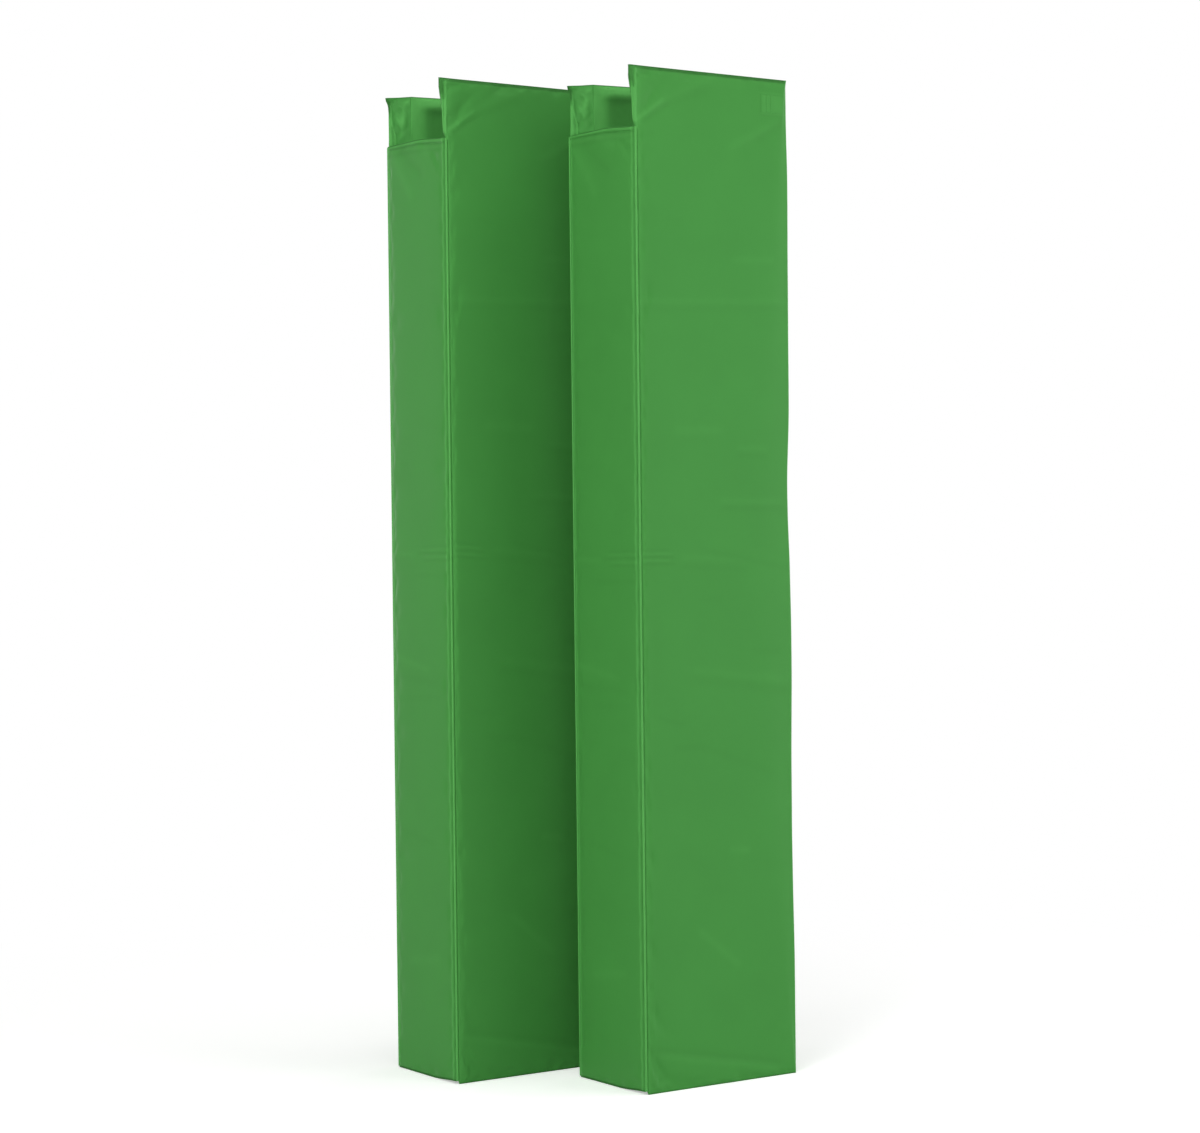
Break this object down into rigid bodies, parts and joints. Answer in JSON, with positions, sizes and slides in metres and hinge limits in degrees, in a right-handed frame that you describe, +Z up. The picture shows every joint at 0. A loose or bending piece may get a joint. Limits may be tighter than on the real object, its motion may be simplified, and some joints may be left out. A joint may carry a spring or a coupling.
{
  "type": "volleyball post pad",
  "caption": "Pair of tall green vinyl post pads: hinged three-panel foam sleeves, open at the back, with a notched front and hook-and-loop straps.",
  "frame": {"origin": "on the floor under the middle of the pair's outline", "axes": "+X from the narrow front panels to the open back, +Y from the near side to the far side, +Z up"},
  "size_m": [0.57, 0.51, 1.8288],
  "materials": {
    "green_vinyl": "satin",
    "green_piping": "satin",
    "cream_foam": "matte",
    "black_webbing": "matte",
    "black_hook_tape": "matte",
    "black_loop_tape": "matte"
  },
  "bodies": {
    "adjoining_side_panels": {"right_pad_far_side_foam": "cream_foam", "right_pad_far_side_cover": "green_vinyl", "right_pad_far_side_top_cap": "green_vinyl", "right_pad_far_side_bottom_cap": "green_vinyl", "right_pad_strap_1_loop_patch": "black_loop_tape", "right_pad_strap_2_loop_patch": "black_loop_tape", "right_pad_strap_3_loop_patch": "black_loop_tape", "right_pad_strap_4_loop_patch": "black_loop_tape", "left_pad_near_side_foam": "cream_foam", "left_pad_near_side_cover": "green_vinyl", "left_pad_near_side_top_cap": "green_vinyl", "left_pad_near_side_bottom_cap": "green_vinyl"},
    "right_pad_front_panel": {"right_pad_front_foam": "cream_foam", "right_pad_front_cover": "green_vinyl", "right_pad_front_top_cap": "green_vinyl", "right_pad_front_bottom_cap": "green_vinyl", "right_pad_near_corner_welt": "green_piping", "right_pad_far_corner_welt": "green_piping"},
    "right_pad_near_side_panel": {"right_pad_near_side_foam": "cream_foam", "right_pad_near_side_cover": "green_vinyl", "right_pad_near_side_top_cap": "green_vinyl", "right_pad_near_side_bottom_cap": "green_vinyl"},
    "left_pad_front_panel": {"left_pad_front_foam": "cream_foam", "left_pad_front_cover": "green_vinyl", "left_pad_front_top_cap": "green_vinyl", "left_pad_front_bottom_cap": "green_vinyl", "left_pad_near_corner_welt": "green_piping", "left_pad_far_corner_welt": "green_piping"},
    "left_pad_far_side_panel": {"left_pad_far_side_foam": "cream_foam", "left_pad_far_side_cover": "green_vinyl", "left_pad_far_side_top_cap": "green_vinyl", "left_pad_far_side_bottom_cap": "green_vinyl", "left_pad_strap_1_loop_patch": "black_loop_tape", "left_pad_strap_2_loop_patch": "black_loop_tape", "left_pad_strap_3_loop_patch": "black_loop_tape", "left_pad_strap_4_loop_patch": "black_loop_tape"},
    "right_pad_strap_1": {"right_pad_strap_1_webbing": "black_webbing", "right_pad_strap_1_hook_tape": "black_hook_tape"},
    "right_pad_strap_2": {"right_pad_strap_2_webbing": "black_webbing", "right_pad_strap_2_hook_tape": "black_hook_tape"},
    "right_pad_strap_3": {"right_pad_strap_3_webbing": "black_webbing", "right_pad_strap_3_hook_tape": "black_hook_tape"},
    "right_pad_strap_4": {"right_pad_strap_4_webbing": "black_webbing", "right_pad_strap_4_hook_tape": "black_hook_tape"},
    "left_pad_strap_1": {"left_pad_strap_1_webbing": "black_webbing", "left_pad_strap_1_hook_tape": "black_hook_tape"},
    "left_pad_strap_2": {"left_pad_strap_2_webbing": "black_webbing", "left_pad_strap_2_hook_tape": "black_hook_tape"},
    "left_pad_strap_3": {"left_pad_strap_3_webbing": "black_webbing", "left_pad_strap_3_hook_tape": "black_hook_tape"},
    "left_pad_strap_4": {"left_pad_strap_4_webbing": "black_webbing", "left_pad_strap_4_hook_tape": "black_hook_tape"}
  },
  "joints": [
    {"name": "right_pad_far_corner_fold", "type": "hinge", "parent": "adjoining_side_panels", "child": "right_pad_front_panel", "pos_m": [-0.05784, -0.0385, 0.9144], "axis": [0, 0, -1], "range_deg": [0, 90]},
    {"name": "right_pad_near_corner_fold", "type": "hinge", "parent": "right_pad_front_panel", "child": "right_pad_near_side_panel", "pos_m": [-0.05784, -0.2495, 0.9144], "axis": [0, 0, -1], "range_deg": [0, 90]},
    {"name": "left_pad_near_corner_fold", "type": "hinge", "parent": "adjoining_side_panels", "child": "left_pad_front_panel", "pos_m": [-0.27584, 0.0385, 0.9144], "axis": [0, 0, 1], "range_deg": [0, 90]},
    {"name": "left_pad_far_corner_fold", "type": "hinge", "parent": "left_pad_front_panel", "child": "left_pad_far_side_panel", "pos_m": [-0.27584, 0.2495, 0.9144], "axis": [0, 0, 1], "range_deg": [0, 90]},
    {"name": "right_pad_strap_1_peel", "type": "hinge", "parent": "right_pad_near_side_panel", "child": "right_pad_strap_1", "pos_m": [0.28071, -0.2455, 1.7813], "axis": [0, 0, -1], "range_deg": [0, 100]},
    {"name": "right_pad_strap_2_peel", "type": "hinge", "parent": "right_pad_near_side_panel", "child": "right_pad_strap_2", "pos_m": [0.28071, -0.2455, 1.27087], "axis": [0, 0, -1], "range_deg": [0, 100]},
    {"name": "right_pad_strap_3_peel", "type": "hinge", "parent": "right_pad_near_side_panel", "child": "right_pad_strap_3", "pos_m": [0.28071, -0.2455, 0.76043], "axis": [0, 0, -1], "range_deg": [0, 100]},
    {"name": "right_pad_strap_4_peel", "type": "hinge", "parent": "right_pad_near_side_panel", "child": "right_pad_strap_4", "pos_m": [0.28071, -0.2455, 0.25], "axis": [0, 0, -1], "range_deg": [0, 100]},
    {"name": "left_pad_strap_1_peel", "type": "hinge", "parent": "adjoining_side_panels", "child": "left_pad_strap_1", "pos_m": [0.06271, 0.0425, 1.7813], "axis": [0, 0, -1], "range_deg": [0, 100]},
    {"name": "left_pad_strap_2_peel", "type": "hinge", "parent": "adjoining_side_panels", "child": "left_pad_strap_2", "pos_m": [0.06271, 0.0425, 1.27087], "axis": [0, 0, -1], "range_deg": [0, 100]},
    {"name": "left_pad_strap_3_peel", "type": "hinge", "parent": "adjoining_side_panels", "child": "left_pad_strap_3", "pos_m": [0.06271, 0.0425, 0.76043], "axis": [0, 0, -1], "range_deg": [0, 100]},
    {"name": "left_pad_strap_4_peel", "type": "hinge", "parent": "adjoining_side_panels", "child": "left_pad_strap_4", "pos_m": [0.06271, 0.0425, 0.25], "axis": [0, 0, -1], "range_deg": [0, 100]}
  ]
}
